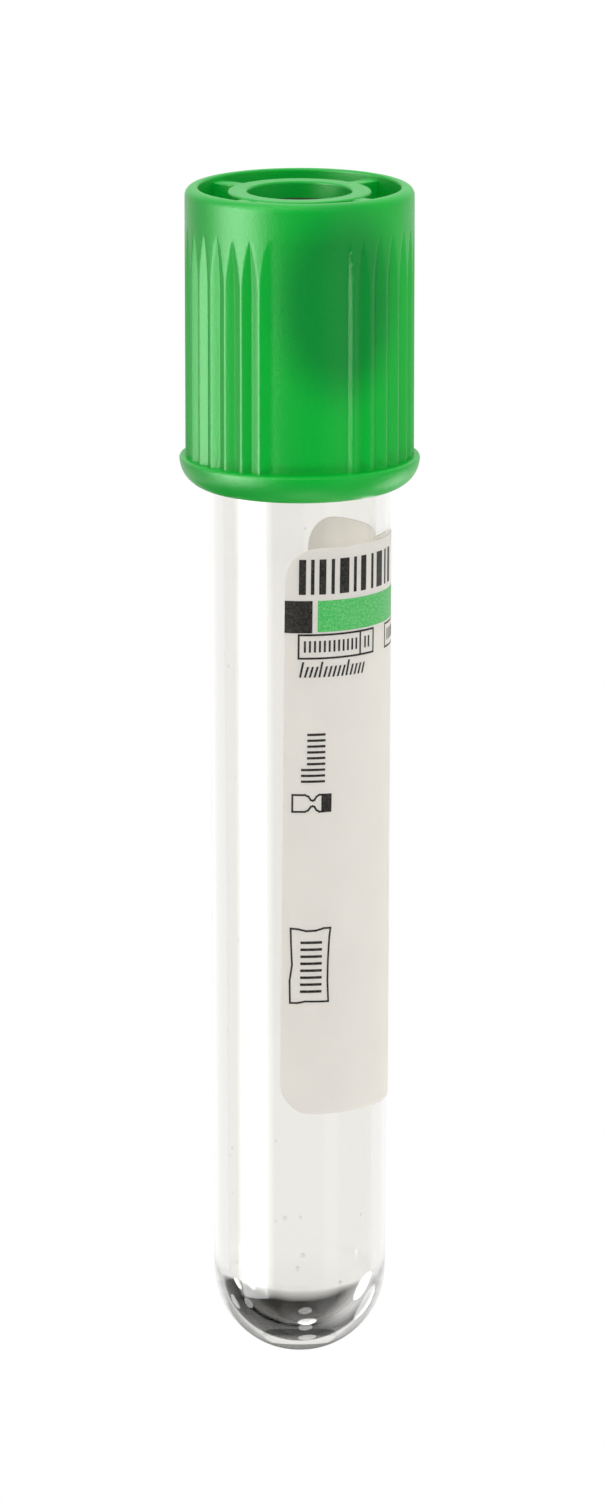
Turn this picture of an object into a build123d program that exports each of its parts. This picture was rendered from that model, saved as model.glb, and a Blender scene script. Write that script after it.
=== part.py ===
"""Blood collection tube: a clear moulded tube with a wrapped label, closed by a rubber
stopper that is held in a fluted cap. Millimetres, +Z up. The pieces are modelled about one
axis with heights measured from the tube's round tip, and are then turned over together to
stand on the cap, with the origin at the centre of its rim."""
import os
from math import degrees, hypot, radians, sin, sqrt

from build123d import *

# Tube: a tapered, round-ended moulding, measured along its axis from the tip
tube_length = 75.0
tube_rim_r = 6.5
tube_taper = 0.26
rim_wall = 0.95
base_wall = 1.0
base_thickness = 1.9
base_flat_r = 1.9
lip_fillet = 0.3

# Label: self-adhesive film with rounded corners, wrapped part of the way round
label_height = 41.8
label_below_cap = 3.55
label_start = -10.5
label_wrap = 186.0
label_thickness = 0.12
label_corner_r = 2.4
glue_gap = 0.02

# Cap: one moulding with a fluted wall, a foot flange, and a needle ring held by webs
cap_wall = 1.02
cap_above_tube = 11.3
cap_below_rim = 10.15
cap_turn = 4.0
rim_wall_thickness = 0.95
rim_outer_fillet = 0.65
rim_inner_fillet = 0.2
ring_hole_r = 3.72
ring_wall = 1.4
ring_drop = 0.3
web_spread = 50.0
web_thickness = 1.2
web_drop = 0.1
pocket_depth = 4.3
plate_thickness = 1.0
skirt_gap = 0.45
bead_gap = 0.3
bead_height = 0.8

# Grip: vee flutes on two sides, with a smooth panel of the same depth between them
panel_angle = 48.6
grip_crests = 14
crest_width = 0.12
flute_depth = 0.32
flute_floor_width = 0.08
flute_top = 2.5
flute_runout = 4.2

# Foot flange: flat on top, with a round edge that curves in to the foot
flange_overhang = 0.44
flange_height = 2.1
flange_edge_r = 0.25
foot_land = 0.35
foot_bulge = 0.33

# Stopper: rubber plug with sealing ribs, a head on the tube's rim, and a pierced boss
plug_length = 8.0
plug_gap = 0.25
seal_gap = 0.08
seal_count = 3
seal_height = 0.9
head_overhang = 0.55
head_gap = 0.1
boss_gap = 0.1
boss_drop = 1.15
needle_recess_r = 2.5
needle_recess_depth = 2.4
well_r = 3.1
well_depth = 4.5

# The bore ends in a round dome with a small flat, above a thicker base
tube_base_r = tube_rim_r - tube_taper
bore_rim_r = tube_rim_r - rim_wall
bore_base_r = tube_base_r - base_wall
dome_centre = base_thickness + sqrt(bore_base_r**2 - base_flat_r**2)


def tube_outer_r(height):
    """Outer radius of the tapered tube at a height above its tip."""
    share = (height - tube_base_r) / (tube_length - tube_base_r)
    return tube_base_r + (tube_rim_r - tube_base_r) * share


def tube_bore_r(height):
    """Radius of the tapered bore at a height above the tip."""
    share = (height - dome_centre) / (tube_length - dome_centre)
    return bore_base_r + (bore_rim_r - bore_base_r) * share


# Heights of the cap's and the stopper's levels above the tip
cap_top = tube_length + cap_above_tube
cap_bottom = tube_length - cap_below_rim
ring_top = cap_top - ring_drop
plate_top = cap_top - pocket_depth
plate_bottom = plate_top - plate_thickness
flange_top = cap_bottom + flange_height
flange_widest = flange_top - flange_edge_r
flute_tip = cap_top - flute_top
flute_shoulder = flute_tip - flute_runout
boss_top = ring_top - boss_drop

# Radii that follow from the fits, from the tube outwards
head_r = tube_rim_r + head_overhang
head_bore_r = head_r + head_gap
bead_r = tube_rim_r + bead_gap
skirt_r = tube_rim_r + skirt_gap
foot_r = skirt_r + foot_land
cap_r = head_bore_r + cap_wall
flange_r = cap_r + flange_overhang
pocket_r = cap_r - rim_wall_thickness
ring_outer_r = ring_hole_r + ring_wall
floor_r = cap_r - flute_depth
pitch = (180.0 - panel_angle) / (grip_crests - 1)

# --- Tube -----------------------------------------------------------------------------
with BuildPart() as tube:
    with BuildSketch(Plane.XZ):
        with BuildLine():
            Polyline(
                (tube_base_r, tube_base_r),
                (tube_rim_r, tube_length),
                (bore_rim_r, tube_length),
                (bore_base_r, dome_centre),
            )
            dome_corner = radians(45)
            ThreePointArc(
                (bore_base_r, dome_centre),
                (bore_base_r * sin(dome_corner), dome_centre - bore_base_r * sin(dome_corner)),
                (base_flat_r, base_thickness),
            )
            Polyline((base_flat_r, base_thickness), (0, base_thickness), (0, 0))
            RadiusArc((0, 0), (tube_base_r, tube_base_r), -tube_base_r)
        make_face()
    revolve(axis=Axis.Z)
    fillet(tube.edges().filter_by(GeomType.CIRCLE).group_by(Axis.Z)[-1], radius=lip_fillet)
tube.part.label = "tube"

# --- Label ----------------------------------------------------------------------------
label_top = cap_bottom - label_below_cap
label_bottom = label_top - label_height
label_mid_r = tube_outer_r(label_bottom + label_height / 2) + glue_gap + label_thickness
start_turn = label_start - 90
start_plane = Plane(
    origin=(0, 0, 0),
    x_dir=Vector(1, 0, 0).rotate(Axis.Z, start_turn),
    z_dir=Vector(0, -1, 0).rotate(Axis.Z, start_turn),
)
with BuildPart() as label:
    with BuildSketch(start_plane):
        with BuildLine():
            bottom_r = tube_outer_r(label_bottom) + glue_gap
            top_r = tube_outer_r(label_top) + glue_gap
            Polyline(
                (bottom_r, label_bottom),
                (bottom_r + label_thickness, label_bottom),
                (top_r + label_thickness, label_top),
                (top_r, label_top),
                close=True,
            )
        make_face()
    revolve(axis=Axis.Z, revolution_arc=label_wrap)
    # each corner is rounded by cutting away what lies outside a quarter circle
    half_corner = degrees(label_corner_r / 2 / label_mid_r)
    edge_x = label_mid_r * sin(radians(half_corner))
    for at_start in (True, False):
        turn = start_turn + (half_corner if at_start else label_wrap - half_corner)
        outward = -1 if at_start else 1
        facing = Plane(
            origin=(0, 0, 0),
            x_dir=Vector(0, 1, 0).rotate(Axis.Z, turn),
            z_dir=Vector(1, 0, 0).rotate(Axis.Z, turn),
        )
        for corner_z, upward in ((label_bottom, -1), (label_top, 1)):
            centre = (outward * (edge_x - label_corner_r), corner_z - upward * label_corner_r)
            with BuildSketch(facing):
                with Locations(
                    (centre[0] + outward * label_corner_r, centre[1] + upward * label_corner_r)
                ):
                    Rectangle(2 * label_corner_r, 2 * label_corner_r)
                with Locations(centre):
                    Circle(label_corner_r, mode=Mode.SUBTRACT)
            extrude(amount=2 * label_mid_r, mode=Mode.SUBTRACT)
label.part.label = "label"

# --- Cap ------------------------------------------------------------------------------
# The vee runs up the wall, then turns outward on a long arc until it leaves the surface.
runout_r = (flute_runout**2 + flute_depth**2) / (2 * flute_depth)
overrun = 1.25 * flute_runout
overrun_r = floor_r + runout_r - sqrt(runout_r**2 - overrun**2)
half_pitch_width = radians(pitch / 2) * cap_r - crest_width / 2
wall_slope = (half_pitch_width - flute_floor_width / 2) / flute_depth
vee_height = 2.5 * flute_depth
vee_half_width = flute_floor_width / 2 + wall_slope * vee_height

with BuildPart() as flute:
    with BuildLine(Plane.XZ) as flute_path:
        Line((floor_r, flange_top), (floor_r, flute_shoulder))
        TangentArc((floor_r, flute_shoulder), (overrun_r, flute_shoulder + overrun), tangent=(0, 1))
    with BuildSketch(Plane.XY.offset(flange_top)):
        with BuildLine():
            Polyline(
                (floor_r, -flute_floor_width / 2),
                (floor_r + vee_height, -vee_half_width),
                (floor_r + vee_height, vee_half_width),
                (floor_r, flute_floor_width / 2),
                close=True,
            )
        make_face()
    sweep(path=flute_path.line)

# A smooth panel is the same recess, carried round between its two end flutes
panel_sweep = panel_angle - pitch
with BuildPart() as panel:
    with BuildSketch(Plane.XZ):
        with BuildLine():
            Line((floor_r, flange_top), (floor_r, flute_shoulder))
            TangentArc(
                (floor_r, flute_shoulder), (overrun_r, flute_shoulder + overrun), tangent=(0, 1)
            )
            Polyline(
                (overrun_r, flute_shoulder + overrun),
                (flange_r + 1, flute_shoulder + overrun),
                (flange_r + 1, flange_top),
                (floor_r, flange_top),
            )
        make_face()
    revolve(axis=Axis.Z, revolution_arc=panel_sweep)

with BuildPart() as cap:
    with BuildSketch(Plane.XZ):
        with BuildLine():
            foot_mid = ((flange_r + foot_r) / 2, (flange_widest + cap_bottom) / 2)
            foot_run = hypot(flange_r - foot_r, flange_widest - cap_bottom)
            bulge_x = foot_bulge * (flange_widest - cap_bottom) / foot_run
            bulge_z = -foot_bulge * (flange_r - foot_r) / foot_run
            RadiusArc(
                (flange_r, flange_widest), (flange_r - flange_edge_r, flange_top), -flange_edge_r
            )
            Polyline(
                (flange_r - flange_edge_r, flange_top),
                (cap_r, flange_top),
                (cap_r, cap_top),
                (pocket_r, cap_top),
                (pocket_r, plate_top),
                (ring_hole_r, plate_top),
                (ring_hole_r, plate_bottom),
                (head_bore_r, plate_bottom),
                (head_bore_r, tube_length),
                (bead_r, tube_length - (head_bore_r - bead_r)),
                (bead_r, tube_length - (head_bore_r - bead_r) - bead_height),
                (skirt_r, tube_length - (head_bore_r - bead_r) - bead_height - (skirt_r - bead_r)),
                (skirt_r, cap_bottom),
                (foot_r, cap_bottom),
            )
            ThreePointArc(
                (foot_r, cap_bottom),
                (foot_mid[0] + bulge_x, foot_mid[1] + bulge_z),
                (flange_r, flange_widest),
            )
        make_face()
    revolve(axis=Axis.Z)
    rim_edges = cap.edges().filter_by(GeomType.CIRCLE).group_by(Axis.Z)[-1].sort_by(SortBy.RADIUS)
    fillet(rim_edges[-1], radius=rim_outer_fillet)
    fillet(rim_edges[0], radius=rim_inner_fillet)
    # needle ring, standing on the plate
    with BuildSketch(Plane.XY.offset(plate_top)):
        Circle(ring_outer_r)
        Circle(ring_hole_r, mode=Mode.SUBTRACT)
    extrude(amount=ring_top - plate_top)
    # webs from the ring to the wall
    web_length = pocket_r - ring_outer_r + (ring_wall + rim_wall_thickness) / 2
    web_mid_r = pocket_r + rim_wall_thickness / 2 - web_length / 2
    with BuildSketch(Plane.XY.offset(plate_top)):
        for spread in (-web_spread, web_spread):
            with PolarLocations(web_mid_r, 2, start_angle=cap_turn + spread - 90):
                Rectangle(web_length, web_thickness)
    extrude(amount=ring_top - web_drop - plate_top)
    # two grips of flutes, then the panels between them
    for side in (0, 180):
        first_flute = side - 90 + cap_turn + panel_angle / 2 - pitch / 2
        for index in range(grip_crests + 1):
            add(flute.part.rotate(Axis.Z, first_flute + index * pitch), mode=Mode.SUBTRACT)
        add(panel.part.rotate(Axis.Z, first_flute - panel_sweep), mode=Mode.SUBTRACT)
cap.part.label = "cap"

# --- Stopper --------------------------------------------------------------------------
plug_bottom = tube_length - plug_length
plug_r = tube_bore_r(plug_bottom) - plug_gap
seal_pitch = (plug_length - seal_height) / seal_count
with BuildPart() as stopper:
    with BuildSketch(Plane.XZ):
        with BuildLine():
            Polyline(
                (0, plug_bottom),
                (plug_r, plug_bottom),
                (plug_r, tube_length),
                (head_r, tube_length),
                (head_r, plate_bottom),
                (ring_hole_r - boss_gap, plate_bottom),
                (ring_hole_r - boss_gap, boss_top),
                (0, boss_top),
                close=True,
            )
        make_face()
    revolve(axis=Axis.Z)
    for index in range(seal_count):
        seal_z = plug_bottom + seal_height + index * seal_pitch
        seal_r = tube_bore_r(seal_z) - seal_gap
        with BuildSketch(Plane.XZ):
            with BuildLine():
                Polyline((plug_r - 1, seal_z - seal_height / 2), (plug_r, seal_z - seal_height / 2))
                ThreePointArc(
                    (plug_r, seal_z - seal_height / 2),
                    (seal_r, seal_z),
                    (plug_r, seal_z + seal_height / 2),
                )
                Polyline(
                    (plug_r, seal_z + seal_height / 2),
                    (plug_r - 1, seal_z + seal_height / 2),
                    (plug_r - 1, seal_z - seal_height / 2),
                )
            make_face()
        revolve(axis=Axis.Z)
    # a domed well under the plug, and the needle's recess in the boss
    with BuildSketch(Plane.XZ):
        with BuildLine():
            well_shoulder = plug_bottom + well_depth - well_r
            Polyline((0, plug_bottom), (well_r, plug_bottom), (well_r, well_shoulder))
            RadiusArc((well_r, well_shoulder), (0, well_shoulder + well_r), -well_r)
            Line((0, well_shoulder + well_r), (0, plug_bottom))
        make_face()
    revolve(axis=Axis.Z, mode=Mode.SUBTRACT)
    with BuildSketch(Plane.XY.offset(boss_top)):
        Circle(needle_recess_r)
    extrude(amount=-needle_recess_depth, mode=Mode.SUBTRACT)
stopper.part.label = "stopper"

# --- Standing on the cap --------------------------------------------------------------
# The round end rolls and can't stand, so the closed tube rests on the rim of its cap. The
# front stays towards -Y.
rest = Location((0, 0, cap_top), (0, 180, 0))
os.makedirs("parts", exist_ok=True)
export_step(tube.part.moved(rest), "parts/tube.step")
export_step(label.part.moved(rest), "parts/label.step")
export_step(cap.part.moved(rest), "parts/cap.step")
export_step(stopper.part.moved(rest), "parts/stopper.step")
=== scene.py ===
"""Blood collection tube: a clear tube with a wrapped label, closed by a rubber stopper in a
fluted green cap. It stands on its cap, so the tube's round end is at the top."""
from math import acos, ceil, cos, degrees, hypot, pi, radians, sin, sqrt
from random import Random

import bpy
from mathutils import Matrix, Vector


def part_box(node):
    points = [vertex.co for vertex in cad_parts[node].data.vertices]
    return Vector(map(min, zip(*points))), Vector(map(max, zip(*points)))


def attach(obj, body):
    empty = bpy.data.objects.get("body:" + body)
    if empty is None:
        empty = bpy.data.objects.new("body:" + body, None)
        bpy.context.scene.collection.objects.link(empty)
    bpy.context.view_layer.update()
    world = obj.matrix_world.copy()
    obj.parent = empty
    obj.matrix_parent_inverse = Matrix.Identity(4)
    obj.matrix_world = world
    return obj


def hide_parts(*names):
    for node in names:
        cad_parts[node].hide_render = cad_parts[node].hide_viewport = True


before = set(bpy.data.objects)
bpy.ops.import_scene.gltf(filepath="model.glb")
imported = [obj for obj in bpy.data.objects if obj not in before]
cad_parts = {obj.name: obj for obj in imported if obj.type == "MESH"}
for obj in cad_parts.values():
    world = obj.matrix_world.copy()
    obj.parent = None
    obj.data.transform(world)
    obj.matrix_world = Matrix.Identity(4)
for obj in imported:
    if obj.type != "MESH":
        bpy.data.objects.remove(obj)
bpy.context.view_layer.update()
mm = 0.001

# --- Tube -----------------------------------------------------------------------------
# The tube is injection moulded in clear polyester (PET), with a wall of about 1 mm, a
# slight taper towards its round end and a thick base. The bore ends in a dome with a small
# flat.
tube_low, tube_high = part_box("tube")
tip_z = tube_high.z
lip_z = tube_low.z
tube_lip_r = tube_high.x
tube_base_r = 6.24 * mm
lip_wall = 0.95 * mm
base_wall = 1.0 * mm
base_thickness = 1.9 * mm
base_flat_r = 1.9 * mm
lip_round = 0.3 * mm
tube_columns = 240
on_axis = 1e-7


def arc(centre_r, centre_z, radius, start, end, steps):
    """Points of a profile arc (radius, height), from start to end degrees."""
    points = []
    for step in range(steps + 1):
        angle = radians(start + (end - start) * step / steps)
        points.append((centre_r + radius * cos(angle), centre_z + radius * sin(angle)))
    return points


def run(start, end):
    """Points along a straight stretch of profile. Those near its ends keep the shading of
    the curves that it joins from creeping along the wall."""
    points = []
    for share in (0.001, 0.004, 0.25, 0.5, 0.75, 0.996, 0.999):
        points.append(tuple(a + (b - a) * share for a, b in zip(start, end)))
    return points


def turned(profile, columns):
    """Vertices and faces of a profile turned about Z. Ends on the axis become one point."""
    vertices = []
    rings = []
    for radius, height in profile:
        if radius < on_axis:
            rings.append([len(vertices)] * columns)
            vertices.append((0, 0, height))
        else:
            rings.append([len(vertices) + column for column in range(columns)])
            for column in range(columns):
                angle = 2 * pi * column / columns
                vertices.append((radius * sin(angle), -radius * cos(angle), height))
    faces = []
    for lower, upper in zip(rings, rings[1:]):
        for column in range(columns):
            after = (column + 1) % columns
            corners = [lower[column], lower[after], upper[after], upper[column]]
            faces.append(tuple(dict.fromkeys(corners)))
    return vertices, faces


def piece(name, vertices, faces, material, body, sharp=40):
    """A mesh object with smooth shading up to a sharp angle, riding on a body."""
    mesh = bpy.data.meshes.new(name)
    mesh.from_pydata(vertices, [], faces)
    mesh.validate()
    mesh.polygons.foreach_set("use_smooth", [True] * len(mesh.polygons))
    mesh.set_sharp_from_angle(angle=radians(sharp))
    mesh.materials.append(material)
    made = bpy.data.objects.new(name, mesh)
    bpy.context.scene.collection.objects.link(made)
    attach(made, body)
    return made


def linear(code):
    """Linear RGBA of an sRGB hex colour."""
    colour = []
    for place in (0, 2, 4):
        c = int(code[place:place + 2], 16) / 255
        colour.append(((c + 0.055) / 1.055) ** 2.4 if c > 0.04045 else c / 12.92)
    return colour + [1]


def add_node(tree, kind, settings=None, **sockets):
    """Adds a node. Settings are its properties, sockets its inputs: values or links."""
    node = tree.nodes.new(kind)
    for name, value in (settings or {}).items():
        setattr(node, name, value)
    for name, value in sockets.items():
        label = name.replace("_", " ")
        entry = node.inputs[int(name[1:])] if name[1:].isdigit() else node.inputs[label]
        if isinstance(value, bpy.types.NodeSocket):
            tree.links.new(value, entry)
        else:
            entry.default_value = value
    return node


def new_material(name):
    """A material, its empty node tree and the tree's output."""
    material = bpy.data.materials.new(name)
    material.use_nodes = True
    tree = material.node_tree
    tree.nodes.clear()
    return material, tree, add_node(tree, "ShaderNodeOutputMaterial")


# Clear moulded PET: colourless and glossy, with a faint warm cast. Lamps shine through it
# on to the label's back and the stopper.
clear_pet, tree, output = new_material("moulded clear PET")
glossy = add_node(
    tree, "ShaderNodeBsdfPrincipled",
    Base_Color=linear("F8F7F4"), Roughness=0.0, IOR=1.57, Transmission_Weight=1.0,
)
shade = add_node(tree, "ShaderNodeBsdfTransparent", Color=linear("F2F2F0"))
ray = add_node(tree, "ShaderNodeLightPath")
shader = add_node(
    tree, "ShaderNodeMixShader",
    i0=ray.outputs["Is Shadow Ray"], i1=glossy.outputs[0], i2=shade.outputs[0],
)
tree.links.new(shader.outputs[0], output.inputs["Surface"])

dome_z = tip_z - tube_base_r
bore_base_r = tube_base_r - base_wall
bore_lip_r = tube_lip_r - lip_wall
bore_dome_z = tip_z - base_thickness - sqrt(bore_base_r**2 - base_flat_r**2)
flat_angle = degrees(acos(base_flat_r / bore_base_r))
tube_profile = (
    [(0, tip_z - base_thickness)]
    + arc(0, bore_dome_z, bore_base_r, flat_angle, 0, 48)
    + run((bore_base_r, bore_dome_z), (bore_lip_r, lip_z + lip_round))
    + arc(bore_lip_r + lip_round, lip_z + lip_round, lip_round, 180, 270, 8)
    + arc(tube_lip_r - lip_round, lip_z + lip_round, lip_round, 270, 360, 8)
    + run((tube_lip_r, lip_z + lip_round), (tube_base_r, dome_z))
    + arc(0, dome_z, tube_base_r, 0, 90, 60)
)
vertices, faces = turned(tube_profile, tube_columns)
clear_tube = piece("clear_tube", vertices, faces, clear_pet, "tube_body")
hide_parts("tube")

# --- Beads ----------------------------------------------------------------------------
# The additive is sprayed into the tube and dries on its inner wall in small clear beads.
# The larger ones are near the round end, and fine ones are scattered over the wall.
bead_gap = 0.003 * mm
# a bead's height over its half width, and its rings in degrees up from the edge
bead_crown = 0.15
bead_rises = (0, 22, 45, 68, 90)
bead_columns = 14
fine_bead_count = 46
fine_bead_low = 24
fine_bead_span = 55
# each bead: degrees round from the front, height and half width in millimetres
beads = [
    (39.2, 74.6, 0.13), (11.0, 74.8, 0.17), (-0.6, 74.7, 0.11), (-2.4, 77.6, 0.18),
    (1.6, 78.6, 0.15), (-31.4, 79.9, 0.11), (-76.6, 71.5, 0.15), (-73.8, 77.1, 0.14),
    (-3.9, 23.6, 0.11), (-4.7, 25.5, 0.15), (58.0, 70.2, 0.1), (63.0, 61.5, 0.12),
    (18.0, 69.0, 0.1), (-14.0, 66.5, 0.09),
]
seeded = Random(7)
for number in range(fine_bead_count):
    beads.append((
        seeded.uniform(-180, 180),
        fine_bead_low + fine_bead_span * seeded.random() ** 0.6,
        seeded.uniform(0.05, 0.11),
    ))
vertices = []
faces = []
for angle, z, size in beads:
    first = len(vertices)
    long = seeded.uniform(1.0, 1.35)
    for rise in bead_rises:
        for step in range(1 if rise == 90 else bead_columns):
            turn = 2 * pi * step / bead_columns
            across = size * mm * cos(radians(rise)) * cos(turn)
            along = size * mm * cos(radians(rise)) * sin(turn) * long
            height = z * mm + along
            share = (dome_z - height) / (dome_z - lip_z)
            bore_r = bore_base_r + (bore_lip_r - bore_base_r) * share
            reach = bore_r - bead_gap - bead_crown * size * mm * sin(radians(rise))
            place = radians(angle) + across / bore_r
            vertices.append((reach * sin(place), -reach * cos(place), height))
    for ring in range(len(bead_rises) - 2):
        start = first + ring * bead_columns
        for step in range(bead_columns):
            a, b = start + step, start + (step + 1) % bead_columns
            faces.append((b, a, a + bead_columns, b + bead_columns))
    crown = first + (len(bead_rises) - 1) * bead_columns
    for step in range(bead_columns):
        a, b = crown - bead_columns + step, crown - bead_columns + (step + 1) % bead_columns
        faces.append((b, a, crown))
    faces.append(tuple(first + step for step in range(bead_columns)))

# A dried clear film: glossy, nearly colourless, and softer than the wall.
dried, tree, output = new_material("dried clear additive")
where = add_node(tree, "ShaderNodeTexCoord")
ripple = add_node(
    tree, "ShaderNodeTexNoise", Vector=where.outputs["Object"], Scale=1 / (0.1 * mm), Detail=1
)
relief = add_node(
    tree, "ShaderNodeBump", Strength=0.4, Distance=0.01 * mm, Height=ripple.outputs[0]
)
glossy = add_node(
    tree, "ShaderNodeBsdfPrincipled",
    Base_Color=linear("F8F7F4"), Roughness=0.04, IOR=1.38, Transmission_Weight=1.0,
    Normal=relief.outputs[0],
)
shade = add_node(tree, "ShaderNodeBsdfTransparent", Color=linear("F2F2F0"))
ray = add_node(tree, "ShaderNodeLightPath")
shader = add_node(
    tree, "ShaderNodeMixShader",
    i0=ray.outputs["Is Shadow Ray"], i1=glossy.outputs[0], i2=shade.outputs[0],
)
tree.links.new(shader.outputs[0], output.inputs["Surface"])
piece("additive_beads", vertices, faces, dried, "tube_body", sharp=50)

# --- Label ----------------------------------------------------------------------------
# A self-adhesive label of off-white film with round corners, stuck on by hand a little
# askew, about half a turn round the tube. The film is matt and slightly mottled.
label_low, label_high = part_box("label")
label_height = label_high.z - label_low.z
label_r = tube_base_r + 0.19 * mm
label_wrap = 186
label_length = label_wrap * radians(1) * label_r
label_start = radians(-11)
label_columns = 120
label_rows = 64
label_corner = 2.4 * mm
film_gap = 0.02 * mm
film_thickness = 0.11 * mm
askew = 0.011


def tube_outer_r(z):
    """Outer radius of the tapered tube at a height."""
    share = (dome_z - z) / (dome_z - lip_z)
    return tube_base_r + (tube_lip_r - tube_base_r) * min(max(share, 0), 1)


def on_label(along, down, lift):
    """Point at a place on the label: along it from its front edge, down from its cap end."""
    film_r = label_r + 0.1 * mm
    turn = label_start + (along - askew * (down - label_height / 2)) / film_r
    z = label_low.z + down + askew * (along - label_length / 2)
    radius = tube_outer_r(z) + film_gap + lift
    return -radius * sin(turn), -radius * cos(turn), z


def film_patch(place, steps_along, steps_down, low, high):
    """Closed film between two lifts. place(a, d) gives (along, down) for shares of 0 to 1."""
    vertices = []
    for lift in (low, high):
        for down in range(steps_down + 1):
            for along in range(steps_along + 1):
                vertices.append(on_label(*place(along / steps_along, down / steps_down), lift))
    row = steps_along + 1
    layer = row * (steps_down + 1)
    faces = []
    for down in range(steps_down):
        for along in range(steps_along):
            a = down * row + along
            faces.append((a, a + 1, a + row + 1, a + row))
            faces.append((layer + a, layer + a + row, layer + a + row + 1, layer + a + 1))
    rim = list(range(row))
    rim += [n * row + steps_along for n in range(1, steps_down + 1)]
    rim += [steps_down * row + n for n in range(steps_along - 1, -1, -1)]
    rim += [n * row for n in range(steps_down - 1, 0, -1)]
    for here, there in zip(rim, rim[1:] + rim[:1]):
        faces.append((here, layer + here, layer + there, there))
    return vertices, faces


def label_place(share_along, share_down):
    """Place on the label's own outline, with its round corners."""
    down = share_down * label_height
    from_end = min(down, label_height - down)
    inset = 0
    if from_end < label_corner:
        inset = label_corner - sqrt(label_corner**2 - (label_corner - from_end) ** 2)
    return inset + share_along * (label_length - 2 * inset), down


def eased(place):
    """The same place function with its rows packed closer at the two ends."""
    return lambda a, d: place(a, (1 - cos(pi * d)) / 2)


# Polypropylene film: off-white and matt, with soft mottling from the adhesive. Light comes
# through it, but nothing can be read through it. Its grain is drawn coarser than the real
# one, so that it shows.
label_film, tree, output = new_material("matt polypropylene film")
where = add_node(tree, "ShaderNodeTexCoord")
mottle = add_node(
    tree, "ShaderNodeTexNoise", Vector=where.outputs["Object"], Scale=1 / (2.5 * mm), Detail=3
)
tint = add_node(
    tree, "ShaderNodeMix", {"data_type": "RGBA"},
    i0=mottle.outputs[0], i6=linear("ECE9E4"), i7=linear("F4F2ED"),
)
grain = add_node(
    tree, "ShaderNodeTexNoise", Vector=where.outputs["Object"], Scale=1 / (0.12 * mm), Detail=2
)
relief = add_node(
    tree, "ShaderNodeBump", Strength=0.25, Distance=0.01 * mm, Height=grain.outputs[0]
)
surface = add_node(
    tree, "ShaderNodeBsdfPrincipled",
    Base_Color=tint.outputs[2], Roughness=0.5, IOR=1.49, Normal=relief.outputs[0],
)
glow = add_node(tree, "ShaderNodeBsdfTranslucent", Color=linear("FBF9F6"))
shader = add_node(
    tree, "ShaderNodeMixShader", i0=0.55, i1=surface.outputs[0], i2=glow.outputs[0]
)
tree.links.new(shader.outputs[0], output.inputs["Surface"])

vertices, faces = film_patch(
    eased(label_place), label_columns, label_rows, 0, film_thickness
)
wrap_label = piece("wrap_label", vertices, faces, label_film, "tube_body")
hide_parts("label")

# --- Print ----------------------------------------------------------------------------
# Flexographic ink on the label: a black square and a green band for the type of tube, and
# ruled boxes, tally strokes and an hourglass for the fields. The ink lies in thin layers.
# Places on the label are in millimetres: along from its front edge, down from its cap end.
ink_low = film_thickness + 0.002 * mm
ink_high = film_thickness + 0.012 * mm
ink_step = 0.25


def straight(corners):
    """Place function of a four-cornered field. Its corners go round it, in millimetres."""
    (a0, d0), (a1, d1), (a2, d2), (a3, d3) = corners

    def place(along, down):
        near = (a0 + (a1 - a0) * along, d0 + (d1 - d0) * along)
        far = (a3 + (a2 - a3) * along, d3 + (d2 - d3) * along)
        return (
            (near[0] + (far[0] - near[0]) * down) * mm,
            (near[1] + (far[1] - near[1]) * down) * mm,
        )

    return place


def field(ink, corners):
    """Adds a field of ink to (vertices, faces)."""
    reach = max(abs(p[0] - q[0]) for p in corners for q in corners)
    steps = max(1, ceil(reach / ink_step))
    made, faces = film_patch(straight(corners), steps, 1, ink_low, ink_high)
    first = len(ink[0])
    ink[0].extend(made)
    ink[1].extend(tuple(first + n for n in face) for face in faces)


def block(ink, left, right, top, bottom, lean=0):
    """A straight-sided field, which may lean like italics."""
    field(ink, [(left + lean, top), (right + lean, top), (right, bottom), (left, bottom)])


def line(ink, points, width):
    """A ruled line through points."""
    for (a0, d0), (a1, d1) in zip(points, points[1:]):
        length = hypot(a1 - a0, d1 - d0)
        along = ((a1 - a0) / length * width / 2, (d1 - d0) / length * width / 2)
        a0, d0, a1, d1 = a0 - along[0], d0 - along[1], a1 + along[0], d1 + along[1]
        side = (-along[1], along[0])
        corners = [(a0 - side[0], d0 - side[1]), (a1 - side[0], d1 - side[1])]
        corners += [(a1 + side[0], d1 + side[1]), (a0 + side[0], d0 + side[1])]
        field(ink, corners)


black = ([], [])
green = ([], [])

# the black square and the green band, which runs to the label's far edge
band_top = 3.8
block(black, 0.01, 1.99, band_top, 6.15)
block(green, 2.37, label_length / mm - 0.01, band_top, 6.08)

# header strokes over the band
header_top = 0.8
header_bottom = 3.35
for left, right in (
    (1.0, 1.5), (1.85, 2.1), (2.45, 2.95), (3.35, 3.6), (4.0, 4.75), (5.15, 5.4),
    (5.8, 6.3), (6.85, 7.1), (7.5, 8.25), (8.65, 8.9), (9.3, 9.8),
):
    block(black, left, right, header_top, header_bottom)

# ruled boxes with tally strokes in them, and a slanted row below
rule = 0.14
box_top = 6.29
box_bottom = 8.0
for left, right in ((1.03, 5.8), (5.8, 7.15), (8.85, 13.6)):
    outline = [
        (left, box_top), (right, box_top), (right, box_bottom), (left, box_bottom),
        (left, box_top),
    ]
    line(black, outline, rule)
stroke = 0.15
box_pitch = 0.36
for start, count in ((1.4, 12), (6.2, 2), (9.3, 12)):
    for number in range(count):
        left = start + box_pitch * number
        block(black, left, left + stroke, 6.72, 7.56)
slanted_pitch = 0.345
tall_strokes = (0, 4, 10)
for number in range(15):
    left = 1.08 + slanted_pitch * number
    top = 8.25 if number in tall_strokes else 8.6
    block(black, left, left + stroke, top, 9.38, lean=0.22)

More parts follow.
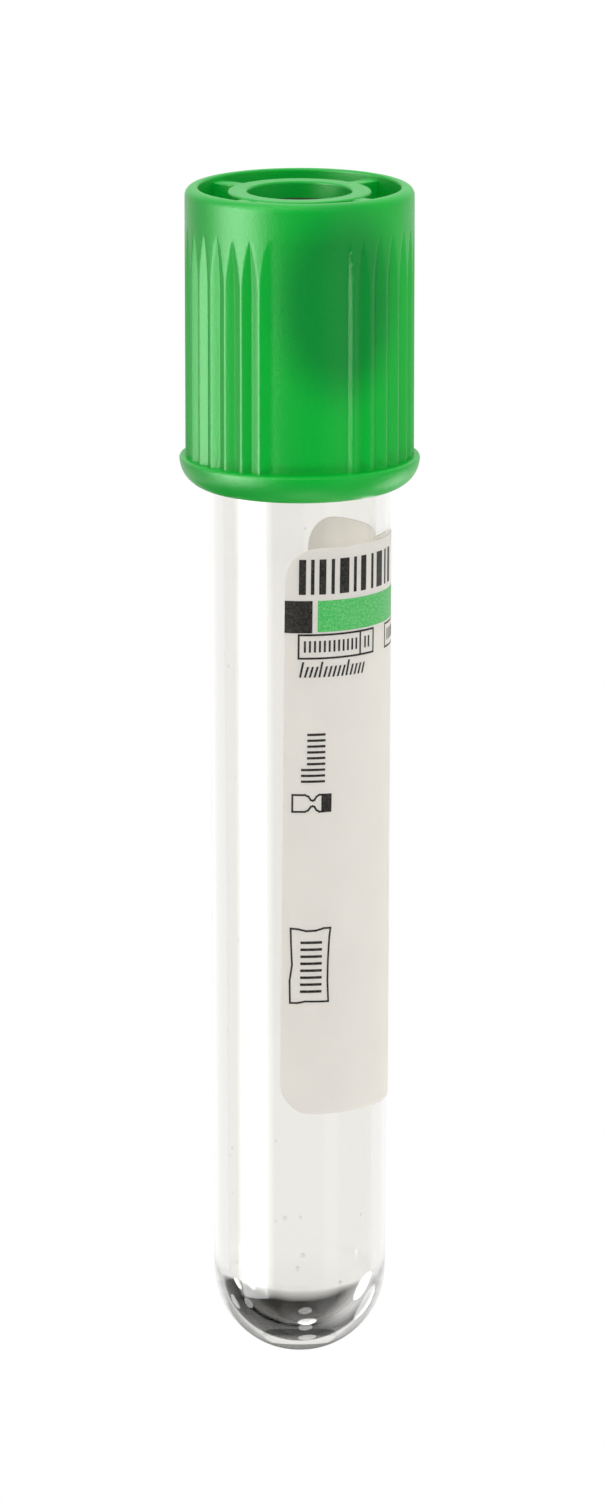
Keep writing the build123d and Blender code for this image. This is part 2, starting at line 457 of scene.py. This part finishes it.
# turned tally strokes
turned_pitch = 0.43
for number in range(9):
    down = 13.5 + turned_pitch * number
    block(black, 1.3 if number > 5 else 1.72, 3.05, down, down + 0.17)

# the hourglass, with its far chamber filled
glass_mid = 18.63
half_glass = [
    (0.7, 0), (0.7, 0.62), (1.6, 0.62), (1.85, 0.5), (2.03, 0.25), (2.16, 0.2),
    (2.29, 0.25), (2.45, 0.5), (2.65, 0.62), (2.95, 0.62),
]
for side in (-1, 1):
    line(black, [(along, glass_mid + side * reach) for along, reach in half_glass], rule)
block(black, 2.8, 3.56, glass_mid - 0.68, glass_mid + 0.68)

# the box with bowed sides, and the turned strokes in it
bowed_box = [
    (0.68, 27.9), (1.2, 27.94), (1.8, 28.08), (2.5, 28.06), (3.1, 27.9), (3.6, 27.9),
    (3.52, 28.6), (3.44, 30.2), (3.42, 31.8), (3.5, 33.36), (2.6, 33.34), (1.8, 33.32),
    (1.2, 33.44), (0.68, 33.44), (0.64, 31.8), (0.8, 30.6), (0.72, 29.2), (0.68, 27.9),
]
line(black, bowed_box, rule)
bowed_pitch = 0.52
for number in range(8):
    down = 28.85 + bowed_pitch * number
    block(black, 1.4, 2.98, down, down + 0.19)


def printed(name, colour, speck):
    """Dry matt ink, with the specks that a printing plate leaves, drawn coarser than the real
    ones so that they show."""
    ink, tree, output = new_material(name)
    where = add_node(tree, "ShaderNodeTexCoord")
    specks = add_node(
        tree, "ShaderNodeTexNoise",
        Vector=where.outputs["Object"], Scale=1 / (0.14 * mm), Detail=1,
    )
    level = add_node(
        tree, "ShaderNodeMapRange", Value=specks.outputs[0],
        From_Min=0.4, From_Max=0.75, To_Min=0.0, To_Max=1.0,
    )
    tint = add_node(
        tree, "ShaderNodeMix", {"data_type": "RGBA"},
        i0=level.outputs[0], i6=linear(colour), i7=linear(speck),
    )
    shader = add_node(
        tree, "ShaderNodeBsdfPrincipled", Base_Color=tint.outputs[2], Roughness=0.45, IOR=1.5
    )
    tree.links.new(shader.outputs[0], output.inputs["Surface"])
    return ink


for ink_name, ink, colour, speck in (
    ("black", black, "1A1816", "45433E"),
    ("green", green, "3FB054", "74C27A"),
):
    dry_ink = printed("matt " + ink_name + " ink", colour, speck)
    piece("print_" + ink_name, ink[0], ink[1], dry_ink, "tube_body")

# --- Cap ------------------------------------------------------------------------------
# One moulding in green polyethylene (HDPE): a wall with vee flutes on two sides and smooth
# panels between them, a foot flange, and inside a needle ring held by four webs. The mould
# is spark eroded, which leaves a fine satin grain.
cap_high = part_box("cap")[1]
cap_r = 8.17 * mm
flange_r = cap_high.x
foot_z = cap_high.z
rim_outer_round = 0.65 * mm
rim_inner_round = 0.2 * mm
pocket_r = cap_r - 0.95 * mm
ring_hole_r = 3.72 * mm
ring_r = 5.12 * mm
ring_z = 0.3 * mm
ring_round = 0.2 * mm
plate_z = 4.3 * mm
plate_back_z = 5.3 * mm
head_bore_r = 7.15 * mm
bead_r = 6.8 * mm
skirt_r = 6.95 * mm
foot_r = 7.3 * mm
flange_z = foot_z - 2.1 * mm
flange_edge = 0.25 * mm
flute_tip_z = 2.5 * mm
flute_shoulder_z = 6.7 * mm
flute_lead = 0.4 * mm
flute_depth = 0.32 * mm
flute_soft = 0.05 * mm
cap_turn = 4.0
panel_angle = 48.6
crest_count = 14
crest_pitch = (180 - panel_angle) / (crest_count - 1)
crest_half = 0.06 * mm
# how steeply the sides of a flute and of a panel go in from a crest
flute_wall = flute_depth / (radians(crest_pitch / 2) * cap_r - crest_half)
panel_wall = 1.05
panel_columns = 20
flute_rows = 26
foot_rows = 16
foot_bulge = 0.33 * mm
bead_land = 0.8 * mm
bead_fade = 0.95 * mm

crests = []
for side in (0, 180):
    for number in range(crest_count):
        crests.append(side + cap_turn + panel_angle / 2 + number * crest_pitch)

# columns: close together at each crest and valley, wider on the panels
columns = []
shares = (
    0, 0.05, 0.1, 0.16, 0.25, 0.35, 0.42, 0.46, 0.5, 0.54, 0.58, 0.65, 0.75, 0.84, 0.9, 0.95,
)
valley = shares.index(0.5)
for here, there in zip(crests, crests[1:] + [crests[0] + 360]):
    span = there - here
    if span < crest_pitch + 1:
        columns += [here + share * span for share in shares]
    else:
        columns += [here + share * crest_pitch for share in shares[:valley + 1]]
        panel_span = span - crest_pitch
        for step in range(1, panel_columns):
            columns.append(here + crest_pitch / 2 + panel_span * step / panel_columns)
        columns += [there - crest_pitch + share * crest_pitch for share in shares[valley:]]


def flute_cut(angle, z):
    """How deep the grip is cut into the cap at an angle and a height. The cut rises from each
    crest to the flutes' depth, runs out towards the rim, and has softened corners."""
    gaps = [(angle - crest + 180) % 360 - 180 for crest in crests]
    gap = min(gaps, key=abs)
    away = radians(abs(gap)) * cap_r
    by_panel = gap < 0 and gaps.index(gap) % crest_count == 0
    rise = panel_wall if by_panel else flute_wall
    side = rise * (sqrt(away**2 + crest_half**2) - crest_half)
    rounding = (0.4 * flute_soft) ** 2
    cut = (side + flute_depth - sqrt((side - flute_depth) ** 2 + rounding)) / 2
    if z < flute_shoulder_z:
        share = (flute_shoulder_z - z) / (flute_shoulder_z - flute_tip_z)
        cut -= flute_depth * share**2
    return max(0, (cut + sqrt(cut**2 + (0.2 * flute_soft) ** 2)) / 2 - 0.1 * flute_soft)


# rows: radius, height and whether the grip is cut there, from the rim up the outside to the
# foot, and back down the inside to the rim
rim = arc(cap_r - rim_outer_round, rim_outer_round, rim_outer_round, 270, 360, 12)
rows = [(radius, z, False) for radius, z in rim]
flute_run = flute_shoulder_z - flute_tip_z + flute_lead
for step in range(flute_rows + 1):
    rows.append((cap_r, flute_tip_z - flute_lead + flute_run * step / flute_rows, True))
for share in (0.33, 0.67, 0.985, 1):
    z = flute_shoulder_z + (flange_z - flute_shoulder_z) * share
    rows.append((cap_r, z, True))
flange = [(flange_r - flange_edge - 0.05 * mm, flange_z)]
flange += arc(flange_r - flange_edge, flange_z + flange_edge, flange_edge, 270, 360, 8)
rows += [(radius, z, False) for radius, z in flange]
foot_across = foot_r - flange_r
foot_height = foot_z - flange_z - flange_edge
foot_run = hypot(foot_across, foot_height)
for step in range(1, foot_rows + 1):
    share = step / foot_rows
    bulge = 4 * foot_bulge * share * (1 - share) / foot_run
    rows.append((
        flange_r + foot_across * share + bulge * foot_height,
        flange_z + flange_edge + foot_height * share - bulge * foot_across,
        False,
    ))
ramp = head_bore_r - bead_r
inside = [
    (skirt_r, foot_z), (skirt_r, lip_z + ramp + bead_fade), (bead_r, lip_z + ramp + bead_land),
    (bead_r, lip_z + ramp), (head_bore_r, lip_z), (head_bore_r, plate_back_z),
    (ring_hole_r, plate_back_z),
]
inside += arc(ring_hole_r + ring_round, ring_z + ring_round, ring_round, 180, 270, 5)
inside += arc(ring_r - ring_round, ring_z + ring_round, ring_round, 270, 360, 5)
inside += [(ring_r, plate_z), (pocket_r, plate_z)]
inside += arc(pocket_r + rim_inner_round, rim_inner_round, rim_inner_round, 180, 270, 6)
rows += [(radius, z, False) for radius, z in inside]

vertices = []
for radius, z, fluted in rows:
    for angle in columns:
        reach = radius - flute_cut(angle, z) if fluted else radius
        turn = radians(angle)
        vertices.append((-reach * sin(turn), -reach * cos(turn), z))
faces = []
count = len(columns)
for row in range(len(rows)):
    here = row * count
    there = (row + 1) % len(rows) * count
    for column in range(count):
        after = (column + 1) % count
        faces.append((here + after, here + column, there + column, there + after))

# HDPE with a spark-eroded grain: satin. The wall is opaque. A darker place on its front, to the
# viewer's right of the middle, is painted shade where little light falls there. It is not a
# colour of the plastic, and not the stopper showing through. The grain is drawn coarser than
# the real one, so that it shows.
painted_shade_centre = (-3.0 * mm, -7.5 * mm, 5.0 * mm)
painted_shade_squat = (1, 1, 0.7)
painted_shade_full = 2.8 * mm
painted_shade_end = 6.2 * mm
cap_green, tree, output = new_material("spark-grained green HDPE")
where = add_node(tree, "ShaderNodeTexCoord")
grain = add_node(
    tree, "ShaderNodeTexNoise", Vector=where.outputs["Object"], Scale=1 / (0.16 * mm), Detail=3,
    Roughness=0.6,
)
# heights are squashed before the distance is taken, so the painted shade is taller than wide
squat = add_node(
    tree, "ShaderNodeVectorMath", {"operation": "MULTIPLY"},
    i0=where.outputs["Object"], i1=painted_shade_squat,
)
from_painted_shade = add_node(
    tree, "ShaderNodeVectorMath", {"operation": "DISTANCE"},
    i0=squat.outputs[0], i1=painted_shade_centre,
)
painted_shade_mask = add_node(
    tree, "ShaderNodeMapRange", {"interpolation_type": "SMOOTHSTEP"},
    Value=from_painted_shade.outputs["Value"],
    From_Min=painted_shade_full, From_Max=painted_shade_end, To_Min=1.0, To_Max=0.0,
)
# the cap's green, turned to a darker green where the painted shade lies
tint = add_node(
    tree, "ShaderNodeMix", {"data_type": "RGBA"},
    i0=painted_shade_mask.outputs[0], i6=linear("00AA33"), i7=linear("00852F"),
)
matt = add_node(
    tree, "ShaderNodeMapRange", Value=grain.outputs[0],
    From_Min=0.3, From_Max=0.7, To_Min=0.34, To_Max=0.44,
)
relief = add_node(
    tree, "ShaderNodeBump", Strength=0.7, Distance=0.03 * mm, Height=grain.outputs[0]
)
shader = add_node(
    tree, "ShaderNodeBsdfPrincipled",
    Base_Color=tint.outputs[2], Roughness=matt.outputs[0], IOR=1.54, Normal=relief.outputs[0],
)
tree.links.new(shader.outputs[0], output.inputs["Surface"])
fluted_cap = piece("fluted_cap", vertices, faces, cap_green, "closure", sharp=32)
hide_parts("cap")

# webs: four rounded bars from the ring to the wall, in one mesh, with their ends and roots
# sunk into the ring, the wall and the plate
web_width = 1.2 * mm
web_spread = 50
web_top = ring_z + 0.1 * mm
web_round = 0.12 * mm
web_root = plate_z + 0.2 * mm
web_start_r = ring_r - 0.5 * mm
web_end_r = pocket_r + 0.3 * mm
corner_steps = (0, 30, 60, 90)
section = [(-web_width / 2, web_root)]
for angle in corner_steps:
    section.append((
        -web_width / 2 + web_round - web_round * cos(radians(angle)),
        web_top + web_round - web_round * sin(radians(angle)),
    ))
for angle in corner_steps:
    section.append((
        web_width / 2 - web_round + web_round * sin(radians(angle)),
        web_top + web_round - web_round * cos(radians(angle)),
    ))
section.append((web_width / 2, web_root))
vertices = []
faces = []
count = len(section)
for angle in (web_spread, 180 - web_spread, 180 + web_spread, 360 - web_spread):
    turn = radians(cap_turn + angle)
    outwards = Vector((-sin(turn), -cos(turn), 0))
    sideways = Vector((cos(turn), -sin(turn), 0))
    inner = len(vertices)
    outer = inner + count
    for radius in (web_start_r, web_end_r):
        for across, z in section:
            vertices.append(outwards * radius + sideways * across + Vector((0, 0, z)))
    for here in range(count):
        there = (here + 1) % count
        faces.append((inner + here, inner + there, outer + there, outer + here))
    faces.append(tuple(inner + n for n in reversed(range(count))))
    faces.append(tuple(outer + n for n in range(count)))
piece("ring_webs", vertices, faces, cap_green, "closure", sharp=45)

# --- Stopper --------------------------------------------------------------------------
# Bromobutyl rubber, compression moulded, near black with a dusty matt skin. Its head sits
# on the tube's lip, its plug seals the bore on three ribs, and its boss fills the ring.
boss_r = 3.62 * mm
boss_z = 1.45 * mm
recess_r = 2.5 * mm
recess_depth = 2.4 * mm
head_r = 7.05 * mm
plug_r = 5.27 * mm
plug_length = 8 * mm
plug_end_z = lip_z + plug_length
well_r = 3.1 * mm
well_depth = 4.5 * mm
rib_count = 3
rib_half = 0.45 * mm
rib_rise = 0.17 * mm
rib_steps = 8
edge = 0.15 * mm
stopper_columns = 160

stopper_profile = [(0, boss_z + recess_depth), (recess_r, boss_z + recess_depth)]
stopper_profile += arc(recess_r + edge, boss_z + edge, edge, 180, 270, 4)
stopper_profile += arc(boss_r - edge, boss_z + edge, edge, 270, 360, 4)
stopper_profile += [(boss_r, plate_back_z)]
stopper_profile += arc(head_r - edge, plate_back_z + edge, edge, 270, 360, 4)
stopper_profile += arc(head_r - edge, lip_z - edge, edge, 0, 90, 4)
stopper_profile += [(plug_r, lip_z)]
for number in range(rib_count):
    ribs_after = rib_count - 1 - number
    middle = plug_end_z - 2 * rib_half - ribs_after * (plug_length - 2 * rib_half) / rib_count
    for step in range(rib_steps + 1):
        share = step / rib_steps
        rib_r = plug_r + rib_rise * sin(pi * share)
        stopper_profile.append((rib_r, middle + rib_half * (2 * share - 1)))
stopper_profile += arc(plug_r - edge, plug_end_z - edge, edge, 0, 90, 4)
stopper_profile += [(well_r, plug_end_z)]
stopper_profile += arc(0, plug_end_z - well_depth + well_r, well_r, 0, -90, 16)
vertices, faces = turned(stopper_profile, stopper_columns)

# Bromobutyl with a bloom of dust: matt and near black. The dust is drawn coarser than the
# real one, so that it shows.
butyl, tree, output = new_material("moulded black butyl rubber")
where = add_node(tree, "ShaderNodeTexCoord")
dust = add_node(
    tree, "ShaderNodeTexNoise", Vector=where.outputs["Object"], Scale=1 / (0.2 * mm), Detail=4
)
tint = add_node(
    tree, "ShaderNodeMix", {"data_type": "RGBA"},
    i0=dust.outputs[0], i6=linear("1A1618"), i7=linear("2A2628"),
)
relief = add_node(
    tree, "ShaderNodeBump", Strength=0.4, Distance=0.01 * mm, Height=dust.outputs[0]
)
shader = add_node(
    tree, "ShaderNodeBsdfPrincipled",
    Base_Color=tint.outputs[2], Roughness=0.62, IOR=1.52, Normal=relief.outputs[0],
)
tree.links.new(shader.outputs[0], output.inputs["Surface"])
rubber_stopper = piece("rubber_stopper", vertices, faces, butyl, "closure")
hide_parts("stopper")

# --- Studio ---------------------------------------------------------------------------
# A pale card floor, five soft boxes, and a white surround with dark zones, bright panels and
# small lights, which draw the edges of the clear tube. The camera is turned over and looks
# up from below, because the tube is shown the other way up from how it stands.
lens = 192.3
sensor_width = 36
camera_pitch = radians(13.875)
camera_side = -0.24 * mm
camera_distance = 561.1 * mm
camera_drop = 183.7 * mm

scene = bpy.context.scene
scene.view_settings.view_transform = "Standard"
camera_data = bpy.data.cameras.new("camera")
camera_data.lens = lens
camera_data.sensor_width = sensor_width
camera = bpy.data.objects.new("camera", camera_data)
scene.collection.objects.link(camera)
back = Vector((0, -cos(camera_pitch), -sin(camera_pitch)))
up = Vector((0, sin(camera_pitch), -cos(camera_pitch)))
right = up.cross(back)
camera_turn = Matrix((right, up, back)).transposed()
camera_place = (camera_side, -camera_distance, tip_z - camera_drop)
camera.matrix_world = Matrix.Translation(camera_place) @ camera_turn.to_4x4()
camera_data.clip_start = 0.01
camera_data.clip_end = 20
scene.camera = camera
# light is led round the tube's thick end by many inner reflections
scene.cycles.max_bounces = 32
scene.cycles.glossy_bounces = 24
scene.cycles.transmission_bounces = 32

# the surround differs by the kind of ray, which its sampling map doesn't know, so it has none
world = bpy.data.worlds.new("studio")
scene.world = world
world.use_nodes = True
world.cycles.sampling_method = "NONE"
tree = world.node_tree
tree.nodes.clear()
output = add_node(tree, "ShaderNodeOutputWorld")
path = add_node(tree, "ShaderNodeLightPath")
direction = add_node(tree, "ShaderNodeTexCoord")
axes = add_node(tree, "ShaderNodeSeparateXYZ", Vector=direction.outputs["Generated"])
# dark above, which is where the tube's thick base looks, but mostly bright again to the
# viewer's right
dark_above = add_node(
    tree, "ShaderNodeMapRange", Value=axes.outputs["Z"],
    From_Min=0.465, From_Max=0.53, To_Min=0.0, To_Max=1.0,
)
dark_side = add_node(
    tree, "ShaderNodeMapRange", Value=axes.outputs["X"],
    From_Min=-0.45, From_Max=-0.15, To_Min=0.25, To_Max=1.0,
)
lid_shade = add_node(
    tree, "ShaderNodeMath", {"operation": "MULTIPLY"},
    i0=dark_above.outputs[0], i1=dark_side.outputs[0],
)
lid = add_node(
    tree, "ShaderNodeMath", {"operation": "SUBTRACT"}, i0=1.0, i1=lid_shade.outputs[0]
)
# small soft-edged lights, most of them in the dark: azimuth from the front, elevation and
# radius in degrees, and level
spots = []
for azimuth, elevation, radius, level in (
    (85, 37, 6, 4.0), (116, 34, 6, 4.0), (28, 101, 7, 4.0), (-22, 76, 7, 4.0),
    (-10, 72, 24, 0.3), (-123, 34, 13, 4.0),
):
    aim = (
        sin(radians(azimuth)) * cos(radians(elevation)),
        -cos(radians(azimuth)) * cos(radians(elevation)),
        sin(radians(elevation)),
    )
    nearness = add_node(
        tree, "ShaderNodeVectorMath", {"operation": "DOT_PRODUCT"},
        i0=direction.outputs["Generated"], i1=aim,
    )
    spots.append(add_node(
        tree, "ShaderNodeMapRange", Value=nearness.outputs["Value"],
        From_Min=cos(radians(radius)), From_Max=cos(radians(radius * 0.8)),
        To_Min=0.0, To_Max=level,
    ))
small_lights = spots[0]
for spot in spots[1:]:
    small_lights = add_node(
        tree, "ShaderNodeMath", i0=small_lights.outputs[0], i1=spot.outputs[0]
    )
# what the outer surfaces mirror, by the angle round the tube from the front to the viewer's
# left: a dark front, bright soft-edged side panels and white behind. A ramp's colours end at
# white, so it holds the levels divided by the highest, and the next node raises them.
towards = add_node(
    tree, "ShaderNodeMath", {"operation": "MULTIPLY"}, i0=axes.outputs["Y"], i1=-1.0
)
bearing = add_node(
    tree, "ShaderNodeMath", {"operation": "ARCTAN2"},
    i0=axes.outputs["X"], i1=towards.outputs[0],
)
bearing_share = add_node(
    tree, "ShaderNodeMapRange", Value=bearing.outputs[0],
    From_Min=-pi, From_Max=pi, To_Min=0.0, To_Max=1.0,
)
panels = add_node(tree, "ShaderNodeValToRGB", Fac=bearing_share.outputs[0])
ramp_top = 4.0
stops = panels.color_ramp.elements
stops.remove(stops[1])
stops[0].position = 0
stops[0].color = (1 / ramp_top, 1 / ramp_top, 1 / ramp_top, 1)
for angle, level in (
    (-150, 1.0), (-110, 0.3), (-80, 0.05), (-56, 0.02), (-51, 0.5), (-36, 0.5), (-30, 0.02),
    (-20, 0.01), (34, 0.01), (44, 3.5), (84, 3.5), (93, 0.4), (120, 0.4), (150, 1.2),
    (180, 1.0),
):
    stop = stops.new((angle + 180) / 360)
    stop.color = (level / ramp_top, level / ramp_top, level / ramp_top, 1)
raised = add_node(
    tree, "ShaderNodeMath", {"operation": "MULTIPLY"}, i0=panels.outputs[0], i1=ramp_top
)
# what matt surfaces gather: all round but the front, which a small lamp lights, and less
# from the viewer's left
off_front = add_node(
    tree, "ShaderNodeMapRange", Value=axes.outputs["Y"],
    From_Min=-0.75, From_Max=-0.4, To_Min=0.0, To_Max=1.0,
)
dimmer_left = add_node(
    tree, "ShaderNodeMapRange", Value=axes.outputs["X"],
    From_Min=0.2, From_Max=0.9, To_Min=1.0, To_Max=0.5,
)
gathered = add_node(
    tree, "ShaderNodeMath", {"operation": "MULTIPLY"},
    i0=off_front.outputs[0], i1=dimmer_left.outputs[0],
)
panelled = add_node(
    tree, "ShaderNodeMath", {"operation": "MULTIPLY"}, i0=raised.outputs[0], i1=lid.outputs[0]
)
mirrored = add_node(tree, "ShaderNodeMath", i0=panelled.outputs[0], i1=small_lights.outputs[0])
# what is seen through the tube: the white surround with its dark lid and small lights. It is
# dimmer from below for light that has bounced inside the clear wall. Light that has met a
# matt surface is left as it is: one matt bounce outweighs any number of mirror bounces.
matt_weight = -50.0
dim_below = add_node(
    tree, "ShaderNodeMapRange", Value=axes.outputs["Z"],
    From_Min=-0.4, From_Max=-0.1, To_Min=0.4, To_Max=1.0,
)
bounces = add_node(
    tree, "ShaderNodeMath", {"operation": "MULTIPLY_ADD"},
    i0=path.outputs["Diffuse Depth"], i1=matt_weight, i2=path.outputs["Glossy Depth"],
)
bounced = add_node(
    tree, "ShaderNodeMath", {"operation": "GREATER_THAN"}, i0=bounces.outputs[0], i1=0.5
)
below = add_node(
    tree, "ShaderNodeMix", {"data_type": "FLOAT"},
    i0=bounced.outputs[0], i2=1.0, i3=dim_below.outputs[0],
)
seen = add_node(
    tree, "ShaderNodeMath", {"operation": "MULTIPLY"}, i0=lid.outputs[0], i1=below.outputs[0]
)
lit = add_node(tree, "ShaderNodeMath", i0=seen.outputs[0], i1=small_lights.outputs[0])
# the choice between them by the kind of ray. What the camera sees directly is plain white.
bent = add_node(
    tree, "ShaderNodeMath", {"operation": "MAXIMUM"},
    i0=path.outputs["Is Transmission Ray"], i1=path.outputs["Is Glossy Ray"],
)
outside = add_node(
    tree, "ShaderNodeMath", {"operation": "LESS_THAN"},
    i0=path.outputs["Transmission Depth"], i1=0.5,
)
outer_mirror = add_node(
    tree, "ShaderNodeMath", {"operation": "MULTIPLY"},
    i0=path.outputs["Is Glossy Ray"], i1=outside.outputs[0],
)
matt_or_clear = add_node(
    tree, "ShaderNodeMix", {"data_type": "FLOAT"},
    i0=bent.outputs[0], i2=gathered.outputs[0], i3=lit.outputs[0],
)
strength = add_node(
    tree, "ShaderNodeMix", {"data_type": "FLOAT"},
    i0=outer_mirror.outputs[0], i2=matt_or_clear.outputs[0], i3=mirrored.outputs[0],
)
final = add_node(
    tree, "ShaderNodeMix", {"data_type": "FLOAT"},
    i0=path.outputs["Is Camera Ray"], i2=strength.outputs[0], i3=1.0,
)
background = add_node(
    tree, "ShaderNodeBackground", Color=(1, 1, 1, 1), Strength=final.outputs[0]
)
tree.links.new(background.outputs[0], output.inputs["Surface"])


def lamp(name, azimuth, elevation, distance, width, height, level, kind):
    """A soft box, aimed at the tube. Azimuth is from the front to the viewer's right and
    elevation towards the cap. Level is the light that it puts on a white card at the tube,
    and kind is the light that it gives: diffuse on matt surfaces or glossy in mirrored ones."""
    data = bpy.data.lights.new(name, "AREA")
    data.shape = "RECTANGLE"
    data.size = width
    data.size_y = height
    data.energy = level * pi**2 * distance**2
    made = bpy.data.objects.new(name, data)
    scene.collection.objects.link(made)
    across = cos(radians(elevation))
    away = Vector((
        -sin(radians(azimuth)) * across,
        -cos(radians(azimuth)) * across,
        -sin(radians(elevation)),
    ))
    made.location = Vector((0, 0, tip_z / 2)) + away * distance
    made.rotation_mode = "QUATERNION"
    made.rotation_quaternion = away.to_track_quat("Z", "Y")
    made.visible_camera = False
    made.visible_diffuse = kind == "diffuse"
    made.visible_glossy = kind == "glossy"
    made.visible_transmission = False


# name, azimuth and elevation in degrees, distance, width and height in metres, level, kind
for soft_box in (
    ("left_box", -64, 0, 0.55, 0.4, 0.75, 1.3, "glossy"),
    ("front_fill", 0, 0, 0.55, 0.12, 0.12, 0.15, "diffuse"),
    ("right_fill", 75, 0, 0.55, 0.3, 0.3, 0.15, "diffuse"),
    ("tip_fill", 0, -45, 0.55, 0.2, 0.2, 0.4, "diffuse"),
    ("cap_fill", 0, 60, 0.5, 0.3, 0.3, 0.6, "diffuse"),
):
    lamp(*soft_box)

# the floor is a pale card that fades out round the part, and that is clear from below, where
# the upturned camera looks through it
floor_half = 1.5
fade_start = 0.06
fade_end = 0.3
floor_mesh = bpy.data.meshes.new("floor")
floor_corners = [
    (-floor_half, -floor_half, 0), (floor_half, -floor_half, 0),
    (floor_half, floor_half, 0), (-floor_half, floor_half, 0),
]
floor_mesh.from_pydata(floor_corners, [], [(0, 1, 2, 3)])
floor = bpy.data.objects.new("floor", floor_mesh)
scene.collection.objects.link(floor)
card, tree, output = new_material("pale studio card")
where = add_node(tree, "ShaderNodeTexCoord")
from_middle = add_node(
    tree, "ShaderNodeVectorMath", {"operation": "LENGTH"}, i0=where.outputs["Object"]
)
fade = add_node(
    tree, "ShaderNodeMapRange", {"interpolation_type": "SMOOTHSTEP"},
    Value=from_middle.outputs["Value"],
    From_Min=fade_start, From_Max=fade_end, To_Min=0.0, To_Max=1.0,
)
under = add_node(tree, "ShaderNodeNewGeometry")
hidden = add_node(
    tree, "ShaderNodeMath", {"operation": "MAXIMUM"},
    i0=fade.outputs[0], i1=under.outputs["Backfacing"],
)
matt_card = add_node(tree, "ShaderNodeBsdfDiffuse", Color=linear("F4F4F2"))
nothing = add_node(tree, "ShaderNodeBsdfTransparent")
shader = add_node(
    tree, "ShaderNodeMixShader",
    i0=hidden.outputs[0], i1=matt_card.outputs[0], i2=nothing.outputs[0],
)
tree.links.new(shader.outputs[0], output.inputs["Surface"])
floor_mesh.materials.append(card)
for way in ("diffuse", "glossy", "transmission", "shadow"):
    setattr(floor, "visible_" + way, False)
